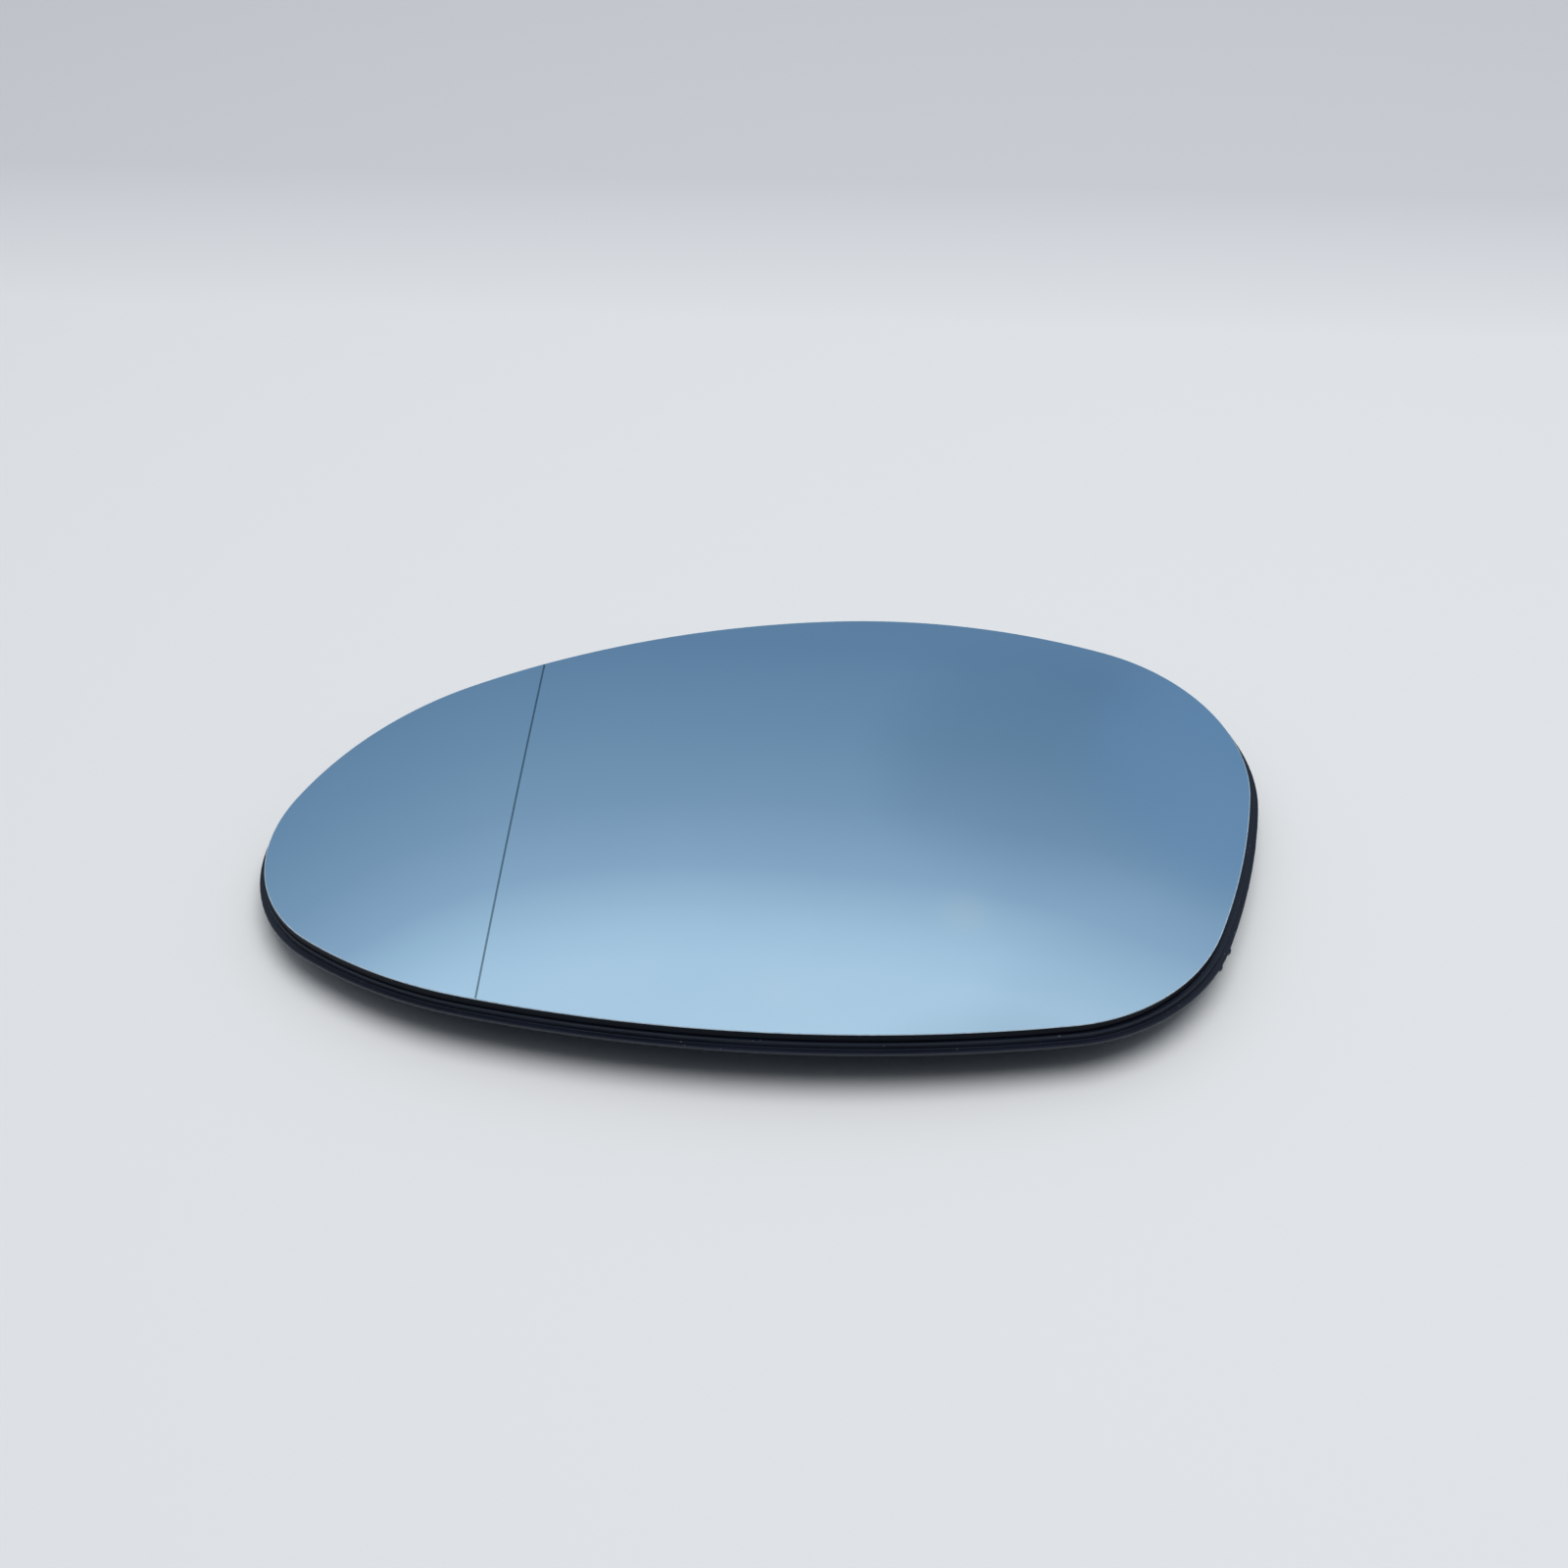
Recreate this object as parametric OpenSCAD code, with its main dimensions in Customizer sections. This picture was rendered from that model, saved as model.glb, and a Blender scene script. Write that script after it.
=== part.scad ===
// Left-hand door mirror glass on its snap-on carrier plate.
// It lies with the pane upward. The origin is on the pivot axis, at the level of the
// collar's end, and the wide-angle outer zone of the pane is at -X.

/* [Pane outline] */
// radius of the inboard flank
flank_r = 157; // [151:1:163]
// radius of the upper inboard shoulder
shoulder_r = 38.2; // [37.2:0.1:39.2]
// radius where the upper edge rises from the shoulder
rise_r = 136; // [131:1:141]
// radius of the flat crown of the upper edge
crown_r = 200; // [195:1:205]
// radius where the upper edge falls to the nose
brow_r = 69; // [66:0.5:72]
// radius of the outboard nose
nose_r = 29.8; // [28.8:0.1:31]
// radius under the nose
chin_r = 86.5; // [82:0.5:91]
// radius of the long lower edge
sole_r = 267.5; // [260:0.5:275]
// radius of the lower inboard heel
heel_r = 38.6; // [37.6:0.1:39.6]
// direction that the outline faces where the flank starts, in degrees from +X
flank_angle = -21.5; // [-22.5:0.1:-20.5]
// the same where the rise starts
rise_angle = 72.1; // [71:0.1:73.5]
// the same where the crown starts
crown_angle = 96.5; // [95:0.1:98]
// the same where the brow starts
brow_angle = 119; // [117.5:0.1:120.5]
// the same where the nose starts
nose_angle = 156.1; // [154.6:0.1:157.6]
// the same where the chin starts
chin_angle = 235.6; // [234.1:0.1:237]
// the same where the sole starts
sole_angle = 257.7; // [256.2:0.1:259.2]

/* [Pane] */
// thickness of the pane
glass_t = 2; // [1.8:0.1:2.6]
// radius of curvature of the main zone
main_r = 1260; // [1000:10:1600]
// radius of curvature across the wide-angle outer zone
outer_r = 560; // [450:10:800]
// distance of the dividing line from the middle of the pane
divider_x = 48.5; // [40:0.5:56]
// width of the dividing line cut in the coating
divider_w = 0.4; // [0.3:0.05:0.8]
// depth of the dividing line
divider_deep = 0.08; // [0.05:0.01:0.2]
// height of the middle of the pane above the collar's end
glass_top = 15; // [14.5:0.5:21.5]

/* [Pads] */
// thickness of the heating foil
foil_t = 0.3; // [0.2:0.05:0.5]
// thickness of the adhesive pad
adhesive_t = 0.5; // [0.4:0.1:0.8]
// distance of the pads' edge inside the pane's edge
pad_inset = 1.6; // [1.2:0.1:3]
// play between layers, and between pads and rim
fit_gap = 0.04; // [0.02:0.01:0.1]

/* [Carrier plate] */
// thickness of the plate under the pads
plate_t = 1.2; // [1:0.1:2]
// how far the plate's rim lies inboard of the pane's, as stuck on
seat_x = 0.3; // [-0.3:0.1:0.3]
// how far the plate's rim lies above the pane's, as stuck on
seat_y = 0.5; // [-0.5:0.1:0.5]
// width of the upper ledge of the rim outside the pane
ledge_w = 0.9; // [0.7:0.1:1.2]
// width of the lower flange beyond the upper ledge
flange_w = 1; // [0.6:0.1:1.4]
// thickness of the lower flange
flange_t = 0.6; // [0.4:0.1:0.8]
// radius of the two small nubs on the flange at the heel
nub_r = 0.9; // [0.5:0.1:1.2]
// reach of the nubs beyond the flange
nub_out = 0.3; // [0.2:0.1:0.5]
// angle of the outline's normal midway between the nubs
nub_angle = -26.1; // [-40:0.1:-25.5]
// angle between the nubs, seen from the middle of the heel arc
nub_pitch_angle = 6.4; // [4:0.1:7]
// distance of the edge rib inside the pane's edge
edge_rib_inset = 5; // [4:0.5:8]
// thickness of the ribs
rib_t = 1.5; // [1:0.1:2]
// height of the edge rib under the plate
edge_rib_h = 2; // [1:0.1:2.5]
// radius of the arc-shaped ribs in the two wings of the plate
wing_rib_r = 64; // [60:1:70]
// number of ribs that run outward from the collar
rib_count = 12; // [8:2:16]
// level of the ribs' lower edge at the collar
rib_low = 6.5; // [5.5:0.5:7.5]
// fall of the ribs' lower edge out to the nose
rib_fall = 1.4; // [0.5:0.1:1.6]

/* [Clip ring] */
// inner radius of the ring of snap fingers
finger_r = 25.5; // [24:0.5:28]
// wall of the snap fingers
finger_t = 2; // [1.6:0.1:2.4]
// room for the spring between the fingers and the collar
collar_gap = 3.5; // [3:0.1:4.5]
// wall of the collar that the part rests on
collar_t = 2; // [1.6:0.1:3]
// number of snap fingers
finger_count = 12; // [8:1:16]
// width of the slots between the fingers
slot_w = 1.6; // [1:0.1:2.4]
// length of the slots, up from the fingers' tips
slot_h = 8.5; // [6:0.5:9]
// height of the fingers' tips above the collar's end
tip_z = 1.2; // [0.5:0.1:2]
// reach of the hooks inward from the fingers
hook_w = 0.9; // [0.5:0.1:1.4]
// height of the hooks
hook_h = 3.2; // [2.8:0.1:4]
// radius of the boss on the pivot axis
boss_r = 7; // [6.5:0.5:9]
// radius of the pivot bore
bore_r = 4; // [3:0.1:5]
// depth of the pivot bore
bore_h = 8; // [6:0.5:10]
// height of the boss's end above the collar's end
boss_z = 0; // [0:0.5:4]
// number of webs between the boss and the fingers
web_count = 4; // [3:1:6]
// level of the webs' lower edge
web_low = 8.5; // [7.5:0.5:9.5]

/* [Retaining spring] */
// radius of the spring wire
wire_r = 0.7; // [0.5:0.05:0.9]
// how far the middle of the wire lies outside the fingers
wire_proud = 0.1; // [0:0.05:0.3]
// level of the spring wire
wire_z = 5.6; // [5:0.1:7]
// gap between the spring and the bottom of its groove
wire_gap = 0.05; // [0.02:0.01:0.1]
// opening of the spring between its two bends
spring_open = 30; // [24:1:40]
// inner radius of the spring's bends
bend_r = 1.2; // [1:0.1:1.5]
// length of the spring's straight legs
leg = 6; // [5:0.5:8]
// direction of the spring's opening
spring_at = 255; // [240:5:270]

/* [Heater terminals] */
// distance of the terminals inboard of the pivot axis
terminal_x = 48; // [44:0.5:52]
// distance of each terminal from the middle line
terminal_y = 9.5; // [8.5:0.5:10.5]
// width of the blades
blade_w = 6.3; // [4.8:0.1:6.3]
// thickness of the blades
blade_t = 0.8; // [0.5:0.1:1]
// length of the blades below the foot
blade_h = 9; // [7:0.5:9.5]
// length of the foot against the foil
foot_l = 8; // [7:0.5:9]
// outer radius of the bend between foot and blade
foot_bend = 1.6; // [1.2:0.1:2]
// radius of the locating hole in the blade
detent_r = 0.9; // [0.6:0.1:1.2]
// play around a terminal in its window
window_gap = 1.2; // [0.8:0.1:1.5]
// radius of the eyelet's shank
shank_r = 1.3; // [1:0.1:1.6]
// radius of the hole through the eyelet
eyelet_r = 0.8; // [0.5:0.1:0.9]
// radius of the eyelet's head
head_r = 2.2; // [1.8:0.1:2.6]
// thickness of the eyelet's head
head_t = 0.3; // [0.2:0.1:0.5]
// distance of the eyelet from the middle of the foot, away from the blade
rivet_off = 1; // [0.5:0.1:1.2]

/* [Hidden] */
$fn = 96;
wide_fn = 1080;

// The outline is a closed chain of arcs that run smoothly into each other, listed
// counterclockwise from the flank. Where two arcs meet, their centres lie apart by the
// difference of their radii. These steps close up like a linkage, which sets the
// directions where the shoulder and the heel start.
shoulder_link = flank_r - shoulder_r;
heel_link = sole_r - heel_r;
pull = (flank_r - heel_r) * unit(flank_angle) + (rise_r - shoulder_r) * unit(rise_angle)
       + (crown_r - rise_r) * unit(crown_angle) + (brow_r - crown_r) * unit(brow_angle)
       + (nose_r - brow_r) * unit(nose_angle) + (chin_r - nose_r) * unit(chin_angle)
       + (sole_r - chin_r) * unit(sole_angle);
pull_at = atan2(pull[1], pull[0]);
shoulder_angle = pull_at + corner(shoulder_link, norm(pull), heel_link);
heel_angle = 360 + pull_at - corner(heel_link, norm(pull), shoulder_link);
function unit(a) = [cos(a), sin(a)];
// angle between two sides of a triangle, from its three sides
function corner(a, b, opposite) = acos((a * a + b * b - opposite * opposite) / (2 * a * b));

radii = [flank_r, shoulder_r, rise_r, crown_r, brow_r, nose_r, chin_r, sole_r, heel_r];
facing = [flank_angle, shoulder_angle, rise_angle, crown_angle, brow_angle, nose_angle,
          chin_angle, sole_angle, heel_angle, flank_angle + 360];
arcs = len(radii);
function chain(k) = k < 1 ? [0, 0]
                  : chain(k - 1) + (radii[k - 1] - radii[k]) * unit(facing[k]);
shoulder_index = 1;
rise_index = 2;
nose_index = 5;
sole_index = 7;
heel_index = 8;
outline_mid = [chain(shoulder_index)[0] + shoulder_r + chain(nose_index)[0] - nose_r,
               chain(rise_index)[1] + rise_r + chain(sole_index)[1] - sole_r] / 2;
centres = [for (k = [0 : arcs - 1]) chain(k) - outline_mid];

// Depths are measured from the face of the pane, square to it.
foil_top = glass_t + fit_gap;
foil_low = foil_top + foil_t;
adhesive_top = foil_low + fit_gap;
adhesive_low = adhesive_top + adhesive_t;
plate_top = adhesive_low + fit_gap;
plate_low = plate_top + plate_t;
flange_top = plate_low - flange_t;
rib_top = plate_top + 0.6;

span = 140;
// how far each arc of the outline runs in over the polygon inside it
lap = 4;
sphere_z = glass_top - main_r;
zone_angle = asin(divider_x / main_r);
groove_r = wire_r + wire_gap;
wire_path = finger_r + finger_t + wire_proud;
collar_r = finger_r + finger_t + collar_gap;
foot_top = foil_low + fit_gap;
foot_w = blade_w + 1.7;

// Moves by whole, then by ever finer steps, so that arcs that touch do so exactly.
module place(p) {
  whole = [for (c = p) round(c)];
  fine = [for (c = p - whole) round(c * 1000) / 1000];
  translate(whole) translate(fine) translate(p - whole - fine) children();
}

// Oval of the chain of arcs, moved outward by grow. Each arc is cut from a disc between
// the two lines square to the outline at its ends.
module outline(grow) {
  polygon([for (k = [0 : arcs - 1]) centres[k] + (radii[k] + grow - lap / 4) * unit(facing[k])]);
  for (k = [0 : arcs - 1]) {
    a = unit(facing[k]);
    b = unit(facing[k + 1]);
    intersection() {
      place(centres[k]) circle(r = radii[k] + grow, $fn = 720);
      polygon([centres[k] + (radii[k] - lap) * a, centres[k] + (radii[k] + 6 * lap) * a,
               centres[k] + (radii[k] + 6 * lap) * b, centres[k] + (radii[k] - lap) * b]);
    }
  }
}

module column(grow) {
  translate([0, 0, 2]) linear_extrude(glass_top) outline(grow);
}

// The same for the plate, whose rim is a little off the pane's middle.
module plate_column(grow) {
  translate([seat_x, seat_y, 0]) column(grow);
}

// Everything below the pane's curved face, sunk by depth: a ball in the main zone and
// a tighter ring surface that leaves it smoothly at the dividing line.
module curved(depth) {
  low = main_r - 60;
  high = main_r + 3;
  translate([0, 0, sphere_z]) rotate([0, -90, 0])
    rotate_extrude(angle = 8, start = -4, $fn = wide_fn) {
      intersection() {
        circle(r = main_r - depth, $fn = wide_fn);
        polygon([[low, -span], [high, -span], [high, high * tan(zone_angle)], [low, low * tan(zone_angle)]]);
      }
      intersection() {
        place((main_r - outer_r) * unit(zone_angle)) circle(r = outer_r - depth, $fn = wide_fn);
        polygon([[low, low * tan(zone_angle)], [high, high * tan(zone_angle)], [high, span], [low, span]]);
      }
    }
}

// Layer between two depths, out to the outline moved by grow.
module layer(grow, top, low) {
  difference() {
    intersection() {
      column(grow);
      curved(top);
    }
    curved(low);
  }
}

// Places children on the curved layers with +Z square to the pane, at a depth below its face.
module on_layer(x, y, depth) {
  translate([0, 0, sphere_z])
    rotate([-asin(y / main_r), 0, 0])
      rotate([0, asin(x / main_r), 0])
        translate([0, 0, main_r - depth]) children();
}

module mirror_glass() {
  color("SteelBlue") difference() {
    layer(0, 0, glass_t);
    difference() {
      translate([-divider_x - divider_w / 2, -span / 2, 2]) cube([divider_w, span, glass_top]);
      curved(divider_deep);
    }
  }
}

module heater_pad() {
  color("DarkOrange") difference() {
    layer(-pad_inset, foil_top, foil_low);
    for (side = [-1, 1])
      on_layer(terminal_x, side * terminal_y, foil_low + 1)
        translate([-rivet_off, 0, 0]) cylinder(r = shank_r + fit_gap, h = 2, $fn = 48);
  }
}

module window(side, play) {
  on_layer(terminal_x, side * terminal_y, plate_low + 1)
    translate([-foot_l / 2 - play, -foot_w / 2 - play, 0])
      cube([foot_l + 2 * play, foot_w + 2 * play, plate_low - foil_low + 1]);
}

module adhesive_pad() {
  color("Gainsboro") difference() {
    layer(-pad_inset, adhesive_top, adhesive_low);
    for (side = [-1, 1]) window(side, window_gap);
  }
}

module ring(outer, inner, low, high) {
  translate([0, 0, low]) difference() {
    cylinder(r = outer, h = high - low);
    translate([0, 0, -1]) cylinder(r = inner, h = high - low + 2);
  }
}

// Plate with its recess for the pads and its stepped rim.
module plate() {
  difference() {
    union() {
      intersection() {
        plate_column(ledge_w);
        curved(glass_t + fit_gap);
      }
      intersection() {
        plate_column(ledge_w + flange_w);
        curved(flange_top);
      }
      nubs();
    }
    curved(plate_low);
    difference() {
      column(-pad_inset + 2 * fit_gap);
      curved(plate_top);
    }
  }
}

// Two small nubs that a moulding gate leaves on the flange.
module nubs() {
  nub_path = heel_r + ledge_w + flange_w + nub_out - nub_r;
  for (side = [-1, 1])
    intersection() {
      translate([seat_x, seat_y, 2])
        translate(centres[heel_index] + nub_path * unit(nub_angle + side * nub_pitch_angle / 2))
          cylinder(r = nub_r, h = glass_top, $fn = 48);
      curved(flange_top);
    }
}

module edge_rib() {
  difference() {
    intersection() {
      plate_column(-edge_rib_inset);
      curved(rib_top);
    }
    plate_column(-edge_rib_inset - rib_t);
    curved(plate_low + edge_rib_h);
  }
}

module ribs() {
  reach = 95;
  intersection() {
    plate_column(-edge_rib_inset - rib_t / 2);
    curved(rib_top);
    union() {
      for (k = [0 : rib_count - 1])
        rotate([90, 0, k * 360 / rib_count])
          translate([0, 0, -rib_t / 2])
            linear_extrude(rib_t)
              polygon([[collar_r + 1, rib_low], [reach, rib_low - rib_fall],
                       [reach, glass_top], [collar_r + 1, glass_top]]);
      ring(wing_rib_r + rib_t, wing_rib_r, rib_low + 0.5, glass_top);
    }
  }
}

module webs() {
  for (k = [0 : web_count - 1])
    rotate([0, 0, (k + 0.5) * 360 / web_count])
      translate([boss_r - 1, -rib_t / 2, web_low])
        cube([finger_r - boss_r + 2, rib_t, glass_top - plate_top - 0.6 - web_low]);
}

module fingers() {
  base = glass_top - plate_top - 0.6;
  difference() {
    rotate_extrude() polygon([
      [finger_r - hook_w, tip_z + 1.2],
      [finger_r, tip_z],
      [finger_r + finger_t - 0.4, tip_z],
      [finger_r + finger_t, tip_z + 0.4],
      [finger_r + finger_t, base],
      [finger_r, base],
      [finger_r, tip_z + hook_h],
      [finger_r - hook_w, tip_z + hook_h - 0.6]]);
    rotate_extrude() translate([wire_path, wire_z]) circle(r = groove_r, $fn = 48);
    for (k = [0 : finger_count - 1])
      rotate([0, 0, (k + 0.5) * 360 / finger_count])
        translate([finger_r - hook_w - 1, -slot_w / 2, 0])
          cube([hook_w + finger_t + 2, slot_w, tip_z + slot_h]);
  }
}

module collar() {
  mouth = 2 * (collar_r + collar_t) * sin(spring_open / 2);
  difference() {
    ring(collar_r + collar_t, collar_r, 0, glass_top - plate_top - 0.6);
    rotate([0, 0, spring_at])
      translate([collar_r - 2, -mouth / 2, -1])
        cube([collar_t + 4, mouth, wire_z + wire_r + 2]);
  }
}

module boss() {
  translate([0, 0, boss_z]) difference() {
    cylinder(r = boss_r, h = glass_top - plate_top - 0.6 - boss_z);
    translate([0, 0, -1]) cylinder(r = bore_r, h = bore_h + 1);
  }
}

module carrier_plate() {
  color("DimGray") difference() {
    union() {
      plate();
      edge_rib();
      ribs();
      collar();
      fingers();
      boss();
      webs();
    }
    for (side = [-1, 1]) window(side, window_gap);
  }
}

// Blade with a foot, drawn from the side: the foot lies under the foil.
module terminal(side) {
  inner = foot_bend - blade_t;
  color("Goldenrod") on_layer(terminal_x, side * terminal_y, foot_top)
    difference() {
      union() {
        translate([-foot_l / 2, -foot_w / 2, -blade_t]) cube([foot_l - foot_bend, foot_w, blade_t]);
        rotate([90, 0, 0]) translate([0, 0, -blade_w / 2]) linear_extrude(blade_w)
          difference() {
            intersection() {
              translate([foot_l / 2 - foot_bend, -foot_bend]) circle(r = foot_bend);
              translate([foot_l / 2 - foot_bend, -foot_bend]) square(foot_bend);
            }
            translate([foot_l / 2 - foot_bend, -foot_bend]) circle(r = inner);
          }
        translate([foot_l / 2 - blade_t, 0, -foot_bend]) rotate([0, 90, 0])
          linear_extrude(blade_t) polygon([
            [0, -blade_w / 2],
            [blade_h - 1, -blade_w / 2],
            [blade_h, -blade_w / 2 + 1],
            [blade_h, blade_w / 2 - 1],
            [blade_h - 1, blade_w / 2],
            [0, blade_w / 2]]);
      }
      translate([-rivet_off, 0, -2]) cylinder(r = shank_r + fit_gap, h = 3, $fn = 48);
      translate([foot_l / 2 - 2, 0, -foot_bend - blade_h + 3]) rotate([0, 90, 0])
        cylinder(r = detent_r, h = 4, $fn = 48);
    }
}

module left_terminal() { terminal(1); }
module right_terminal() { terminal(-1); }

// Eyelet through the foot and the foil, with its head under the foot.
module eyelet(side) {
  top = foot_top - foil_top;
  color("Silver") on_layer(terminal_x, side * terminal_y, foot_top) translate([-rivet_off, 0, 0])
    rotate_extrude($fn = 48) polygon([
      [eyelet_r, -blade_t - fit_gap - head_t],
      [head_r, -blade_t - fit_gap - head_t],
      [head_r, -blade_t - fit_gap],
      [shank_r, -blade_t - fit_gap],
      [shank_r, top],
      [eyelet_r, top]]);
}

module left_rivet() { eyelet(1); }
module right_rivet() { eyelet(-1); }

// Wire ring that squeezes the fingers, with its two ends bent outward side by side.
module retaining_spring() {
  bend = bend_r + wire_r;
  half = spring_open / 2;
  color("LightSteelBlue") translate([0, 0, wire_z]) rotate([0, 0, spring_at]) {
    rotate_extrude(angle = 360 - spring_open, start = half, $fn = 180)
      translate([wire_path, 0]) circle(r = wire_r, $fn = 32);
    for (side = [-1, 1]) {
      turn_at = (wire_path + bend) * unit(side * half);
      place(turn_at) rotate_extrude(angle = 90 - half, start = side < 0 ? 90 : 180 + half)
        translate([bend, 0]) circle(r = wire_r, $fn = 32);
      place(turn_at - side * [0, bend]) rotate([0, 90, 0]) cylinder(r = wire_r, h = leg, $fn = 32);
    }
  }
}

mirror_glass();
heater_pad();
adhesive_pad();
carrier_plate();
left_terminal();
right_terminal();
left_rivet();
right_rivet();
retaining_spring();
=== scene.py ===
import math

import bmesh
import bpy
import numpy as np
from mathutils import Matrix, Vector
from mathutils.kdtree import KDTree


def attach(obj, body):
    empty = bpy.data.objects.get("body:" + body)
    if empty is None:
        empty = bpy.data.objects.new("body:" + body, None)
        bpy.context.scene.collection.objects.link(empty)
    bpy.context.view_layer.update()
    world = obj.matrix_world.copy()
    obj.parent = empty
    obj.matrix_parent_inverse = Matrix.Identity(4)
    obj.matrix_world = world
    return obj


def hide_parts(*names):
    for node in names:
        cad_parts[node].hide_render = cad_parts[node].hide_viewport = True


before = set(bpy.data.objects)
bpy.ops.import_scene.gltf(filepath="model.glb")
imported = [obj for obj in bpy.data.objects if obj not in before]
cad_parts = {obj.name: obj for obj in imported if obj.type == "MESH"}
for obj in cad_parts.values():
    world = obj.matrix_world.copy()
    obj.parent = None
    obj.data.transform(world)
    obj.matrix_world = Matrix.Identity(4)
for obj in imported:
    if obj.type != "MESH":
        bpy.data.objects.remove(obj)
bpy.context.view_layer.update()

scene = bpy.context.scene
MM = 0.001

# Camera, in millimetres: it looks down at 44 degrees from in front, slightly from the right.
CAMERA_AT = (16.838, -269.138, 281.82)
CAMERA_LOOK = (-0.0353, 0.7148, -0.6984)
LENS = 45.0
SENSOR = 36.0

# Outline of the pane: a closed chain of arcs, each given by its radius and by the
# direction that the outline faces where the arc starts. The two starts that are left
# out follow from closing the chain.
RADII = [157.0, 38.2, 136.0, 200.0, 69.0, 29.8, 86.5, 267.5, 38.6]
STARTS = [-21.5, None, 72.1, 96.5, 119.0, 156.1, 235.6, 257.7, None]
# The arcs on which the outline reaches furthest to the right, the far side, the left and the near side.
RIGHT, FAR, LEFT, NEAR = 1, 2, 5, 7
OUTLINE_STEP = 0.8
LEAST_STEPS = 6

# Face of the pane: a ball in the main zone, and a tighter ring surface in the outer zone.
TOP = 15.0
GLASS_T = 2.0
MAIN_R = 1260.0
OUTER_R = 560.0
DIVIDER_X = 48.5
DIVIDER_W = 0.4
BALL_Z = TOP - MAIN_R
ZONE = math.asin(DIVIDER_X / MAIN_R)
RING_R = (MAIN_R - OUTER_R) * math.cos(ZONE)
RING_X = (MAIN_R - OUTER_R) * math.sin(ZONE)

# Rounding of the pane's upper edge, and the numbers of steps over it, inward and on the back.
ARRIS_R = 0.16
ARRIS_STEPS = 5
FACE_STEPS = 44
BACK_STEPS = 12

# Finishes of the pane, in the order of its material slots.
COATED, SIDE, ARRIS, BACK, ETCHED = range(5)

# Faint finger smudges on the coated face: place and radius in millimetres, and strength.
SMUDGES = [(38.3, -27.0, 8.0, 0.7), (50.5, 40.1, 5.0, 0.3), (5.0, -47.1, 6.0, 0.25)]
SMUDGE_COLOUR = (0.465, 0.632, 0.757)

# Floor: half its width in metres, and the distances behind the part between which it turns cooler.
FLOOR_HALF = 6.0
FLOOR_COLOUR = (0.825, 0.83, 0.825)
FAR_FROM = 0.20
FAR_TO = 0.28
FAR_COLOUR = (0.675, 0.665, 0.685)

# Room: its colour at each elevation in degrees. The bright ceiling starts lower on the left.
SKY = [
    (0, (0.10, 0.11, 0.13)),
    (12, (0.12, 0.14, 0.17)),
    (26, (0.24, 0.32, 0.42)),
    (36, (0.265, 0.36, 0.47)),
    (41, (0.34, 0.435, 0.53)),
    (45, (0.43, 0.515, 0.60)),
    (48.6, (0.575, 0.645, 0.725)),
    (50, (0.70, 0.76, 0.81)),
    (51.5, (0.826, 0.871, 0.903)),
    (53.5, (0.95, 0.965, 0.98)),
    (57, (1.0, 1.0, 1.0)),
    (90, (0.86, 0.88, 0.90)),
]
LEFT_DROP = 0.065

# Soft patches of the room: azimuth, elevation, inner and outer angle in degrees, and strength.
# The dark ones lie low on the right and at the ceiling light, and the blue one shows at the
# right end of the pane. The near side is dark for diffuse light only.
DARK_PATCHES = [(11.5, 41.5, 1, 8, 0.13), (16, 61, 1, 8, 0.2), (20, 54, 1, 6, 0.07)]
DARK_COLOUR = (0.0, 0.05, 0.10)
BLUE_PATCH = (22, 39, 3, 8, 0.6)
BLUE_COLOUR = (0.285, 0.405, 0.545)
NEAR_PATCH = (180, 12, 32, 88, 0.95)
NEAR_COLOUR = (0.012, 0.012, 0.014)

# Pale horizon: the elevations in degrees where it begins to fade and is gone.
HORIZON = (6, 22)
HORIZON_COLOUR = (0.78, 0.80, 0.83)

# Lamp, in metres and watts: nearly overhead.
LAMP_AT = Vector((0.15, -0.02, 1.3))
LAMP_SIZE = 1.0
LAMP_POWER = 9.6
LAMP_COLOUR = (0.985, 0.985, 1.0)


def add_camera():
    data = bpy.data.cameras.new("camera")
    data.lens = LENS
    data.sensor_width = SENSOR
    data.clip_start = 0.01
    camera = bpy.data.objects.new("camera", data)
    scene.collection.objects.link(camera)
    camera.location = Vector(CAMERA_AT) * MM
    look = Vector(CAMERA_LOOK).normalized()
    right = look.cross(Vector((0, 0, 1))).normalized()
    camera.rotation_euler = Matrix((right, right.cross(look), -look)).transposed().to_euler()
    scene.camera = camera


def unit(degrees):
    return np.array([math.cos(math.radians(degrees)), math.sin(math.radians(degrees))])


def corner(a, b, opposite):
    """Angle in degrees between two sides of a triangle."""
    return math.degrees(math.acos((a * a + b * b - opposite * opposite) / (2 * a * b)))


def solve_outline():
    """Closes the chain: the centres of the arcs, and the directions that they face at their ends."""
    last = len(RADII) - 1
    # The known steps from centre to centre leave a gap, which the two open steps have to span.
    gap = (RADII[0] - RADII[last]) * unit(STARTS[0])
    for k in range(2, last):
        gap = gap + (RADII[k] - RADII[k - 1]) * unit(STARTS[k])
    gap_angle = math.degrees(math.atan2(gap[1], gap[0]))
    gap_length = np.linalg.norm(gap)
    first_side = RADII[0] - RADII[1]
    last_side = RADII[last - 1] - RADII[last]
    facing = list(STARTS)
    facing[1] = gap_angle + corner(first_side, gap_length, last_side)
    facing[last] = 360 + gap_angle - corner(last_side, gap_length, first_side)
    facing.append(facing[0] + 360)
    centres = [np.zeros(2)]
    for k in range(1, len(RADII)):
        centres.append(centres[-1] + (RADII[k - 1] - RADII[k]) * unit(facing[k]))
    middle = np.array([centres[RIGHT][0] + RADII[RIGHT] + centres[LEFT][0] - RADII[LEFT],
                       centres[FAR][1] + RADII[FAR] + centres[NEAR][1] - RADII[NEAR]]) / 2
    return [centre - middle for centre in centres], facing


CENTRES, FACING = solve_outline()


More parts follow.
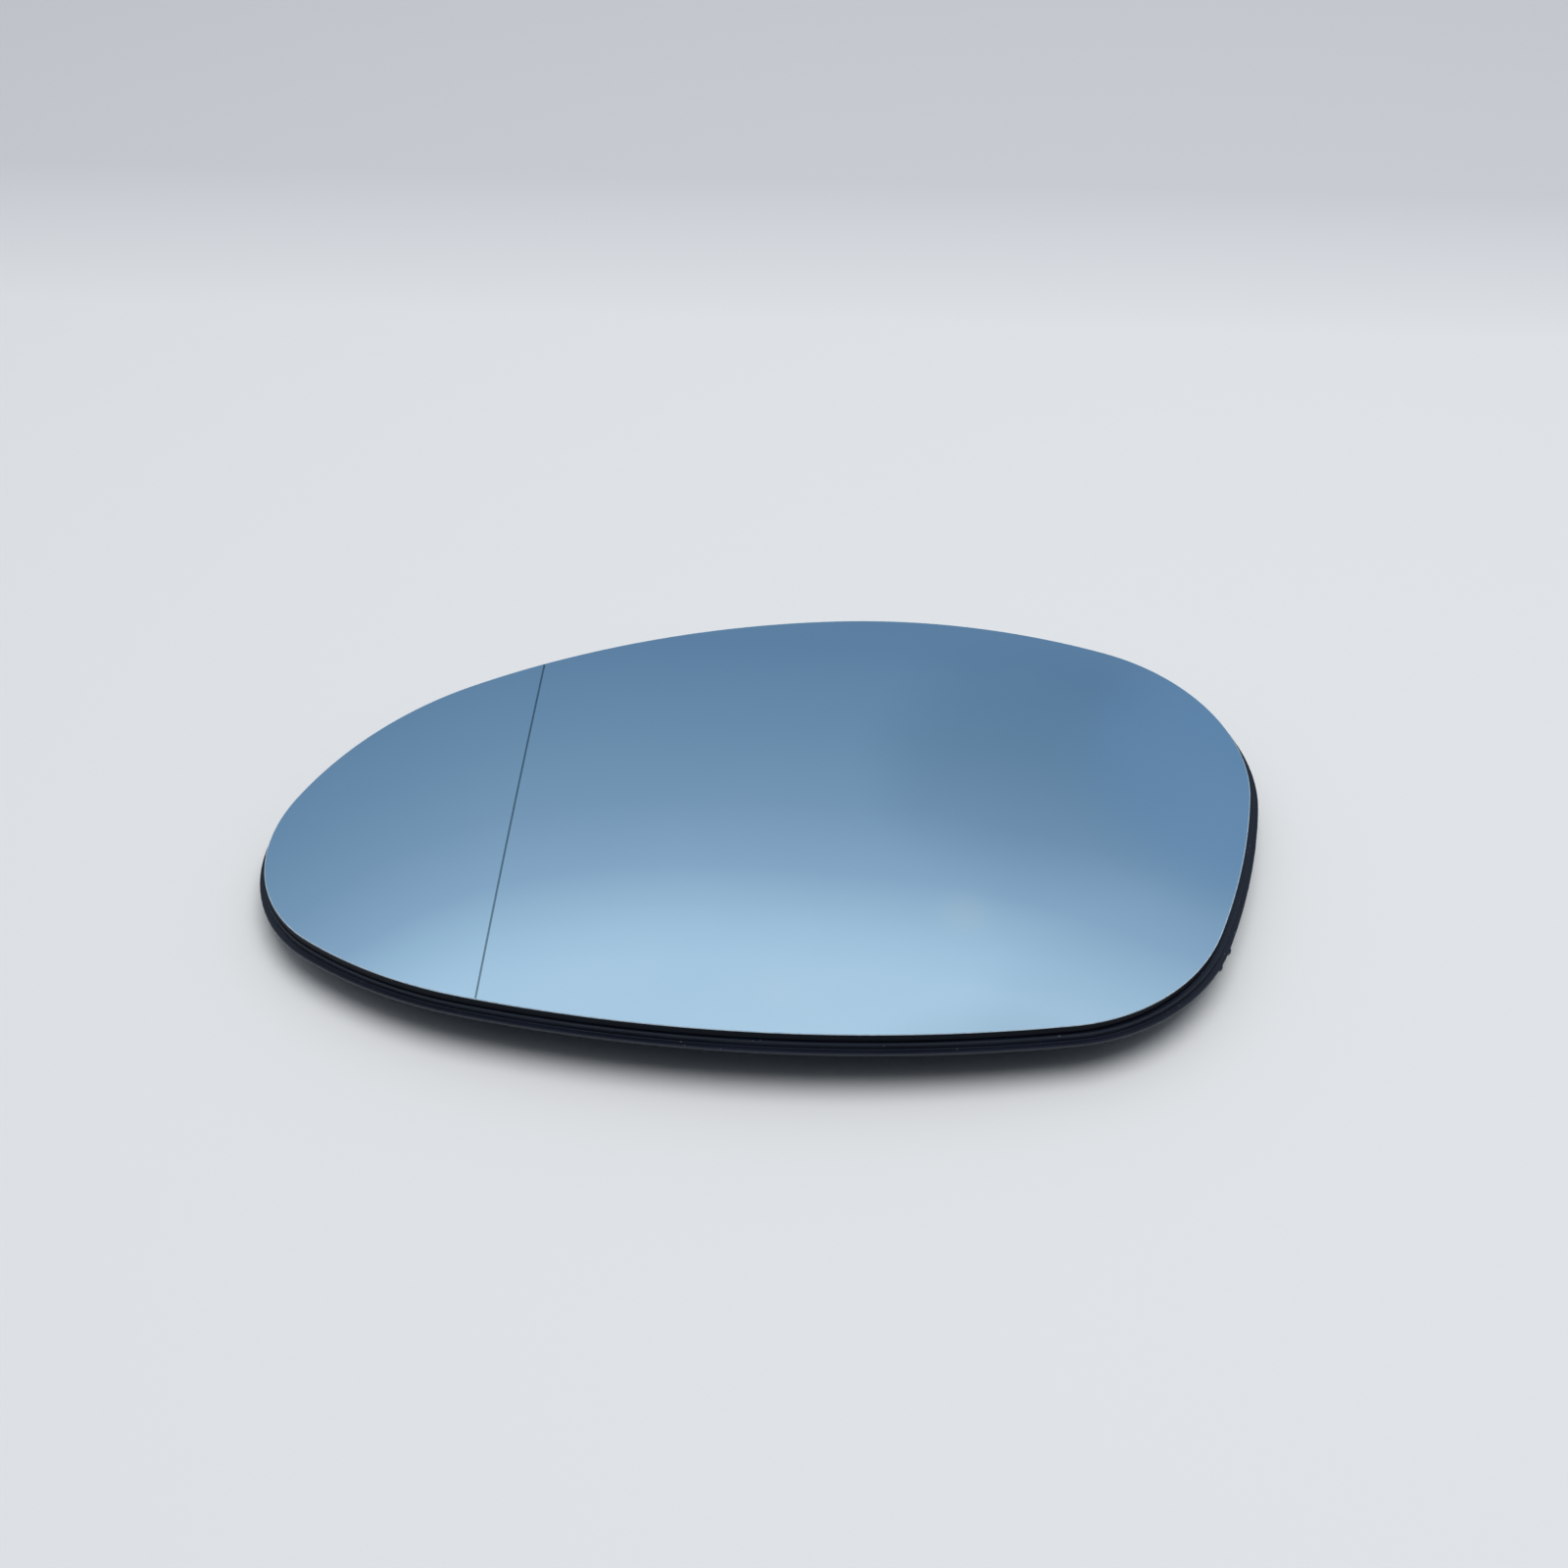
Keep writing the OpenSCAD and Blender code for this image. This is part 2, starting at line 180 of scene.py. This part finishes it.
def outline_samples():
    """Arc numbers and directions at even steps along the outline."""
    samples = []
    for k, radius in enumerate(RADII):
        turn = FACING[k + 1] - FACING[k]
        count = max(LEAST_STEPS, round(math.radians(turn) * radius / OUTLINE_STEP))
        samples += [(k, FACING[k] + turn * i / count) for i in range(count)]
    return samples


def outline_points(samples, grow):
    return np.array([CENTRES[k] + (RADII[k] + grow) * unit(angle) for k, angle in samples])


def face_at(x, y, depth=0.0):
    """Height of the face sunk by depth, and the direction square to it."""
    x = np.asarray(x, float)
    y = np.asarray(y, float)
    ball = MAIN_R - depth
    main_z = np.sqrt(ball ** 2 - x ** 2 - y ** 2)
    main_n = np.stack([x, y, main_z], -1) / ball
    ring = OUTER_R - depth
    reach = -x - RING_X
    rho = RING_R + np.sqrt(ring ** 2 - reach ** 2)
    outer_z = np.sqrt(rho ** 2 - y ** 2)
    lean = (rho - RING_R) / ring
    outer_n = np.stack([-reach / ring, lean * y / rho, lean * outer_z / rho], -1)
    outer = -x > DIVIDER_X
    z = np.where(outer, outer_z, main_z) + BALL_Z
    n = np.where(outer[..., None], outer_n, main_n)
    return z, n


def node(tree, kind, **settings):
    made = tree.nodes.new(kind)
    for key, value in settings.items():
        setattr(made, key, value)
    return made


def new_material(name):
    material = bpy.data.materials.new(name)
    material.use_nodes = True
    tree = material.node_tree
    tree.nodes.clear()
    out = node(tree, "ShaderNodeOutputMaterial")
    shader = node(tree, "ShaderNodeBsdfPrincipled")
    tree.links.new(shader.outputs[0], out.inputs[0])
    return material, tree, shader


def object_place(tree):
    return node(tree, "ShaderNodeTexCoord").outputs["Object"]


def noise(tree, scale, detail, rough, distort=0.0):
    made = node(tree, "ShaderNodeTexNoise")
    made.inputs["Scale"].default_value = scale
    made.inputs["Detail"].default_value = detail
    made.inputs["Roughness"].default_value = rough
    made.inputs["Distortion"].default_value = distort
    tree.links.new(object_place(tree), made.inputs["Vector"])
    return made.outputs["Fac"]


def ramp(tree, factor, stops):
    """Colour that follows a factor through stops of position and colour."""
    made = node(tree, "ShaderNodeValToRGB")
    elements = made.color_ramp.elements
    while len(elements) < len(stops):
        elements.new(0.5)
    for element, (position, colour) in zip(elements, stops):
        element.position = position
        element.color = (*colour, 1)
    tree.links.new(factor, made.inputs["Fac"])
    return made.outputs["Color"]


def spread(tree, factor, low, high, to_low, to_high):
    """Maps the range from low to high onto another."""
    made = node(tree, "ShaderNodeMapRange")
    made.inputs["From Min"].default_value = low
    made.inputs["From Max"].default_value = high
    made.inputs["To Min"].default_value = to_low
    made.inputs["To Max"].default_value = to_high
    tree.links.new(factor, made.inputs["Value"])
    return made.outputs["Result"]


def sums(tree, operation, first, second):
    """One step of arithmetic on sockets or numbers."""
    made = node(tree, "ShaderNodeMath", operation=operation)
    for value, socket in ((first, made.inputs[0]), (second, made.inputs[1])):
        if isinstance(value, (int, float)):
            socket.default_value = value
        else:
            tree.links.new(value, socket)
    return made.outputs[0]


def blend_colours(tree, factor, first, second):
    """Colour that runs from first to second, each a socket or a fixed colour."""
    made = node(tree, "ShaderNodeMix", data_type="RGBA")
    tree.links.new(factor, made.inputs["Factor"])
    for value, socket in ((first, made.inputs[6]), (second, made.inputs[7])):
        if isinstance(value, tuple):
            socket.default_value = (*value, 1)
        else:
            tree.links.new(value, socket)
    return made.outputs[2]


def bump(tree, shader, height, strength, distance):
    made = node(tree, "ShaderNodeBump")
    made.inputs["Strength"].default_value = strength
    made.inputs["Distance"].default_value = distance
    tree.links.new(height, made.inputs["Height"])
    tree.links.new(made.outputs[0], shader.inputs["Normal"])
    return made


def grained(tree, shader, grain, dark, light, rough, between=(0.3, 0.7)):
    """Colour and roughness that follow one grain between two of its values. Returns the colour."""
    colour = ramp(tree, grain, [(between[0], dark), (between[1], light)])
    tree.links.new(colour, shader.inputs["Base Color"])
    tree.links.new(spread(tree, grain, *between, *rough), shader.inputs["Roughness"])
    return colour


def spot(tree, x, y, radius, strength):
    """Full strength at a place on the pane, in millimetres, falling softly to 0 at the radius."""
    flat = node(tree, "ShaderNodeVectorMath", operation="MULTIPLY")
    flat.inputs[1].default_value = (1, 1, 0)
    tree.links.new(object_place(tree), flat.inputs[0])
    away = node(tree, "ShaderNodeVectorMath", operation="DISTANCE")
    away.inputs[1].default_value = (x * MM, y * MM, 0)
    tree.links.new(flat.outputs[0], away.inputs[0])
    soft = node(tree, "ShaderNodeMapRange", interpolation_type="SMOOTHSTEP")
    soft.inputs["From Max"].default_value = radius * MM
    soft.inputs["To Min"].default_value = strength
    soft.inputs["To Max"].default_value = 0.0
    tree.links.new(away.outputs["Value"], soft.inputs["Value"])
    return soft.outputs["Result"]


def plastic_material():
    """Blue-black moulded plastic with softened edges, a fine grain, dull patches and a few dust specks."""
    material, tree, shader = new_material("black_plastic")
    patches = noise(tree, scale=60, detail=4, rough=0.6)
    colour = grained(tree, shader, patches, dark=(0.0030, 0.0044, 0.0105),
                     light=(0.0048, 0.0068, 0.0152), rough=(0.34, 0.46))
    dust = (0.16, 0.17, 0.19)
    specks = spread(tree, noise(tree, scale=1500, detail=1, rough=0.4), 0.765, 0.80, 0, 0.8)
    tree.links.new(blend_colours(tree, specks, colour, dust), shader.inputs["Base Color"])
    shader.inputs["Specular IOR Level"].default_value = 0.46
    shader.inputs["Specular Tint"].default_value = (0.72, 0.84, 1.0, 1)
    fine = noise(tree, scale=3500, detail=2, rough=0.5)
    grain = bump(tree, shader, fine, strength=0.18, distance=0.00006)
    edges = node(tree, "ShaderNodeBevel", samples=8)
    edges.inputs["Radius"].default_value = 0.0003
    tree.links.new(edges.outputs[0], grain.inputs["Normal"])
    return material


def mirror_material():
    """Blue vapour-deposited coating under the polished glass, with faint wiped smudges."""
    material, tree, shader = new_material("blue_mirror")
    haze = noise(tree, scale=22, detail=3, rough=0.55, distort=0.4)
    colour = grained(tree, shader, haze, dark=(0.395, 0.585, 0.757), light=(0.408, 0.597, 0.766),
                     rough=(0.012, 0.02), between=(0.35, 0.65))
    for x, y, radius, strength in SMUDGES:
        amount = spot(tree, x, y, radius, strength)
        colour = blend_colours(tree, amount, colour, SMUDGE_COLOUR)
    tree.links.new(colour, shader.inputs["Base Color"])
    shader.inputs["Metallic"].default_value = 1.0
    return material


def ground_edge_material():
    """Finely ground arris of the pane, which scatters light along the rim."""
    material, tree, shader = new_material("ground_edge")
    grained(tree, shader, noise(tree, scale=900, detail=3, rough=0.6),
            dark=(0.33, 0.45, 0.55), light=(0.50, 0.63, 0.73), rough=(0.25, 0.4))
    return material


def glass_side_material():
    """Side of the pane: deep glass that shows the black moulding behind it."""
    material, tree, shader = new_material("glass_side")
    grained(tree, shader, noise(tree, scale=240, detail=3, rough=0.6),
            dark=(0.0015, 0.0022, 0.0050), light=(0.0030, 0.0042, 0.0085), rough=(0.3, 0.4))
    shader.inputs["Specular IOR Level"].default_value = 0.08
    shader.inputs["Specular Tint"].default_value = (0.55, 0.78, 1.0, 1)
    return material


def line_material():
    """Etched dividing line, where the coating is thinner and reflects less."""
    material, tree, shader = new_material("etched_line")
    grained(tree, shader, noise(tree, scale=1500, detail=2, rough=0.5),
            dark=(0.130, 0.215, 0.280), light=(0.160, 0.255, 0.325), rough=(0.05, 0.10))
    shader.inputs["Metallic"].default_value = 1.0
    return material


def back_paint_material():
    """Dark protective paint on the back of the pane."""
    material, tree, shader = new_material("back_paint")
    grained(tree, shader, noise(tree, scale=400, detail=3, rough=0.6),
            dark=(0.035, 0.040, 0.045), light=(0.055, 0.060, 0.066), rough=(0.45, 0.6))
    return material


def foil_material():
    """Amber heating foil with printed silver-carbon tracks, about 6 mm apart."""
    material, tree, shader = new_material("heating_foil")
    colour = grained(tree, shader, noise(tree, scale=300, detail=3, rough=0.6),
                     dark=(0.22, 0.075, 0.012), light=(0.30, 0.11, 0.02), rough=(0.22, 0.38))
    bands = node(tree, "ShaderNodeTexWave", bands_direction="Y")
    bands.inputs["Scale"].default_value = 52.0
    tree.links.new(object_place(tree), bands.inputs["Vector"])
    carbon = (0.20, 0.20, 0.19)
    tracks = spread(tree, bands.outputs["Fac"], 0.60, 0.66, 0, 1)
    tree.links.new(blend_colours(tree, tracks, colour, carbon), shader.inputs["Base Color"])
    return material


def foam_material():
    """Closed-cell foam of the adhesive pad."""
    material, tree, shader = new_material("adhesive_foam")
    cells = noise(tree, scale=2600, detail=3, rough=0.6)
    grained(tree, shader, cells, dark=(0.10, 0.10, 0.11), light=(0.19, 0.19, 0.20), rough=(0.7, 0.9))
    bump(tree, shader, cells, strength=0.5, distance=0.0001)
    return material


def metal_material(name, dark, light, rough):
    """Sheet or wire metal with fine drawn scratches and uneven tarnish."""
    material, tree, shader = new_material(name)
    grained(tree, shader, noise(tree, scale=700, detail=4, rough=0.6), dark, light, rough)
    shader.inputs["Metallic"].default_value = 1.0
    scratches = noise(tree, scale=2800, detail=2, rough=0.5)
    bump(tree, shader, scratches, strength=0.1, distance=0.00003)
    return material


def pane_rings(samples, outward):
    """Rings of points from the lower edge over the arris and inward, and the normals of the arris."""
    edge = outline_points(samples, 0)
    low_z, _ = face_at(edge[:, 0], edge[:, 1], GLASS_T)
    rings = [np.column_stack([edge, low_z])]
    normals = []
    for i in range(ARRIS_STEPS + 1):
        turn = math.pi / 2 * i / ARRIS_STEPS
        at = outline_points(samples, -ARRIS_R * (1 - math.cos(turn)))
        z, square = face_at(at[:, 0], at[:, 1])
        rings.append(np.column_stack([at, z - ARRIS_R * (1 - math.sin(turn))]))
        mixed = math.cos(turn) * outward + math.sin(turn) * square
        normals.append(mixed / np.linalg.norm(mixed, axis=1)[:, None])
    inner = outline_points(samples, -ARRIS_R)
    for i in range(1, FACE_STEPS):
        at = inner * (1 - i / FACE_STEPS)
        z, _ = face_at(at[:, 0], at[:, 1])
        rings.append(np.column_stack([at, z]))
    return rings, normals


def add_strip(mesh, outer, inner, finish, smooth):
    """Faces between two rings of points."""
    for j in range(len(outer)):
        k = (j + 1) % len(outer)
        face = mesh.faces.new((outer[j], outer[k], inner[k], inner[j]))
        face.material_index = finish
        face.smooth = smooth


def add_fan(mesh, ring, depth, finish, smooth):
    """Faces from a ring of points to the middle of the face sunk by depth."""
    z, _ = face_at(0.0, 0.0, depth)
    tip = mesh.verts.new((0, 0, float(z) * MM))
    for j in range(len(ring)):
        face = mesh.faces.new((ring[j], ring[(j + 1) % len(ring)], tip))
        face.material_index = finish
        face.smooth = smooth


def add_front(mesh, rings):
    """Side, arris and coated face. Returns the ring of the lower edge."""
    made = [[mesh.verts.new(point * MM) for point in ring] for ring in rings]
    for i in range(len(made) - 1):
        finish = SIDE if i == 0 else (ARRIS if i <= ARRIS_STEPS else COATED)
        add_strip(mesh, made[i], made[i + 1], finish, True)
    add_fan(mesh, made[-1], 0.0, COATED, True)
    return made[0]


def add_back(mesh, low_edge, edge):
    """Painted back, from the lower edge to the middle."""
    ring = low_edge
    for i in range(1, BACK_STEPS):
        at = edge * (1 - i / BACK_STEPS)
        z, _ = face_at(at[:, 0], at[:, 1], GLASS_T)
        inner = [mesh.verts.new(point * MM) for point in np.column_stack([at, z])]
        add_strip(mesh, inner, ring, BACK, False)
        ring = inner
    add_fan(mesh, ring[::-1], GLASS_T, BACK, False)


def mark_divider(mesh):
    """Cuts both edges of the dividing line into the face, and gives the flush strip its own finish."""
    half = DIVIDER_W / 2
    for x in (-DIVIDER_X - half, -DIVIDER_X + half):
        top = [f for f in mesh.faces if f.material_index in (COATED, ARRIS)]
        edges = list(dict.fromkeys(e for f in top for e in f.edges))
        points = list(dict.fromkeys(v for f in top for v in f.verts))
        bmesh.ops.bisect_plane(mesh, geom=top + edges + points, plane_co=(x * MM, 0, 0),
                               plane_no=(1, 0, 0), dist=1e-8)
    for face in mesh.faces:
        in_strip = abs(face.calc_center_median().x / MM + DIVIDER_X) < half
        if face.material_index == COATED and in_strip:
            face.material_index = ETCHED


def set_normals(data, rings, arris_normals, outward):
    """Takes the normals of the coated face, the arris and the side from the surface itself."""
    points = np.array([v.co for v in data.vertices]) / MM
    _, square = face_at(points[:, 0], points[:, 1])
    arris_points = np.vstack(rings[1:len(arris_normals) + 1])
    arris_values = np.vstack(arris_normals)
    nearest = KDTree(len(arris_points))
    for i, point in enumerate(arris_points):
        nearest.insert(point, i)
    nearest.balance()
    normals = np.zeros((len(data.loops), 3))
    for poly in data.polygons:
        for index in poly.loop_indices:
            v = data.loops[index].vertex_index
            if poly.material_index in (COATED, ETCHED):
                normals[index] = square[v]
            elif poly.material_index == ARRIS:
                normals[index] = arris_values[nearest.find(points[v])[1]]
            elif poly.material_index == SIDE:
                normals[index] = outward[nearest.find(points[v])[1] % len(outward)]
            else:
                normals[index] = poly.normal
    data.normals_split_custom_set([Vector(n).normalized() for n in normals])


def build_pane():
    """Pane with a rounded arris, the dividing line and normals taken from its surface."""
    samples = outline_samples()
    outward = np.array([[*unit(angle), 0.0] for _, angle in samples])
    rings, arris_normals = pane_rings(samples, outward)
    mesh = bmesh.new()
    low_edge = add_front(mesh, rings)
    add_back(mesh, low_edge, outline_points(samples, 0))
    mark_divider(mesh)
    mesh.normal_update()
    data = bpy.data.meshes.new("mirror_pane")
    mesh.to_mesh(data)
    mesh.free()
    set_normals(data, rings, arris_normals, outward)
    pane = bpy.data.objects.new("mirror_pane", data)
    scene.collection.objects.link(pane)
    for material in (mirror_material(), glass_side_material(), ground_edge_material(),
                     back_paint_material(), line_material()):
        data.materials.append(material)
    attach(pane, "root")
    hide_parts("mirror_glass")


def dress(name, material):
    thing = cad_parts[name]
    thing.data.materials.clear()
    thing.data.materials.append(material)


def dress_parts():
    dress("carrier_plate", plastic_material())
    dress("heater_pad", foil_material())
    dress("adhesive_pad", foam_material())
    brass = metal_material("tinned_brass", (0.55, 0.47, 0.30), (0.72, 0.63, 0.44), (0.28, 0.42))
    tin = metal_material("tin_plate", (0.52, 0.52, 0.50), (0.68, 0.68, 0.66), (0.25, 0.4))
    steel = metal_material("spring_steel", (0.30, 0.31, 0.33), (0.46, 0.47, 0.49), (0.22, 0.36))
    for hand in ("left", "right"):
        dress(hand + "_terminal", brass)
        dress(hand + "_rivet", tin)
    dress("retaining_spring", steel)


def build_floor():
    """Pale floor that turns cooler and darker far behind the part."""
    half = FLOOR_HALF
    data = bpy.data.meshes.new("floor")
    data.from_pydata([(-half, -half, 0), (half, -half, 0), (half, half, 0), (-half, half, 0)],
                     [], [(0, 1, 2, 3)])
    floor = bpy.data.objects.new("floor", data)
    scene.collection.objects.link(floor)
    material, tree, shader = new_material("floor")
    split = node(tree, "ShaderNodeSeparateXYZ")
    tree.links.new(object_place(tree), split.inputs[0])
    far = spread(tree, split.outputs["Y"], FAR_FROM, FAR_TO, 0, 1)
    colour = ramp(tree, far, [(0, FLOOR_COLOUR), (1, FAR_COLOUR)])
    tree.links.new(colour, shader.inputs["Base Color"])
    shader.inputs["Roughness"].default_value = 0.9
    shader.inputs["Specular IOR Level"].default_value = 0.1
    data.materials.append(material)


def at_height(degrees):
    return math.sin(math.radians(degrees))


def patch(tree, ray, azimuth, elevation, inner, outer, strength):
    """Full strength in a direction, given from +Y towards +X and upward, falling softly to 0
    between two angles off it."""
    a, e = math.radians(azimuth), math.radians(elevation)
    made = node(tree, "ShaderNodeVectorMath", operation="DOT_PRODUCT")
    made.inputs[1].default_value = (math.sin(a) * math.cos(e), math.cos(a) * math.cos(e), math.sin(e))
    tree.links.new(ray, made.inputs[0])
    smooth = node(tree, "ShaderNodeMapRange", interpolation_type="SMOOTHSTEP")
    smooth.inputs["From Min"].default_value = math.cos(math.radians(outer))
    smooth.inputs["From Max"].default_value = math.cos(math.radians(inner))
    tree.links.new(made.outputs["Value"], smooth.inputs["Value"])
    return sums(tree, "MULTIPLY", smooth.outputs["Result"], strength)


def room_colour(tree, ray, split):
    """Colour of the room in each direction, with its dark patches."""
    left = sums(tree, "MINIMUM", split.outputs["X"], 0.0)
    height = sums(tree, "SUBTRACT", split.outputs["Z"], sums(tree, "MULTIPLY", left, LEFT_DROP))
    sky = ramp(tree, height, [(at_height(elevation), colour) for elevation, colour in SKY])
    dim = 0.0
    for place in DARK_PATCHES:
        dim = sums(tree, "ADD", dim, patch(tree, ray, *place))
    return blend_colours(tree, dim, sky, DARK_COLOUR)


def build_world():
    """Room around the part, as the pane shows it and as it lights the floor."""
    world = bpy.data.worlds.new("studio")
    scene.world = world
    world.use_nodes = True
    tree = world.node_tree
    tree.nodes.clear()
    out = node(tree, "ShaderNodeOutputWorld")
    background = node(tree, "ShaderNodeBackground")
    tree.links.new(background.outputs[0], out.inputs[0])
    ray = node(tree, "ShaderNodeTexCoord").outputs["Generated"]
    split = node(tree, "ShaderNodeSeparateXYZ")
    tree.links.new(ray, split.inputs[0])
    # What is seen directly or in gloss and glass has a pale horizon and the whole room, and
    # diffuse light lacks the near side, which gives the floor its near shadow.
    path = node(tree, "ShaderNodeLightPath")
    seen = sums(tree, "ADD", path.outputs["Is Camera Ray"], path.outputs["Is Glossy Ray"])
    seen = sums(tree, "MINIMUM", sums(tree, "ADD", seen, path.outputs["Is Transmission Ray"]), 1.0)
    unseen = sums(tree, "SUBTRACT", 1.0, seen)
    near = sums(tree, "MULTIPLY", patch(tree, ray, *NEAR_PATCH), unseen)
    blue = patch(tree, ray, *BLUE_PATCH)
    low = spread(tree, split.outputs["Z"], at_height(HORIZON[0]), at_height(HORIZON[1]), 1, 0)
    colour = blend_colours(tree, near, room_colour(tree, ray, split), NEAR_COLOUR)
    colour = blend_colours(tree, blue, colour, BLUE_COLOUR)
    colour = blend_colours(tree, sums(tree, "MULTIPLY", low, seen), colour, HORIZON_COLOUR)
    tree.links.new(colour, background.inputs["Color"])
    background.inputs["Strength"].default_value = 1.0


def add_lamp():
    data = bpy.data.lights.new("overhead", "AREA")
    data.shape = "DISK"
    data.size = LAMP_SIZE
    data.energy = LAMP_POWER
    data.color = LAMP_COLOUR
    lamp = bpy.data.objects.new("overhead", data)
    scene.collection.objects.link(lamp)
    lamp.location = LAMP_AT
    lamp.rotation_euler = (-LAMP_AT).to_track_quat("-Z", "Y").to_euler()
    lamp.visible_glossy = False
    lamp.visible_camera = False


add_camera()
build_pane()
dress_parts()
build_floor()
build_world()
add_lamp()

scene.view_settings.view_transform = "Standard"
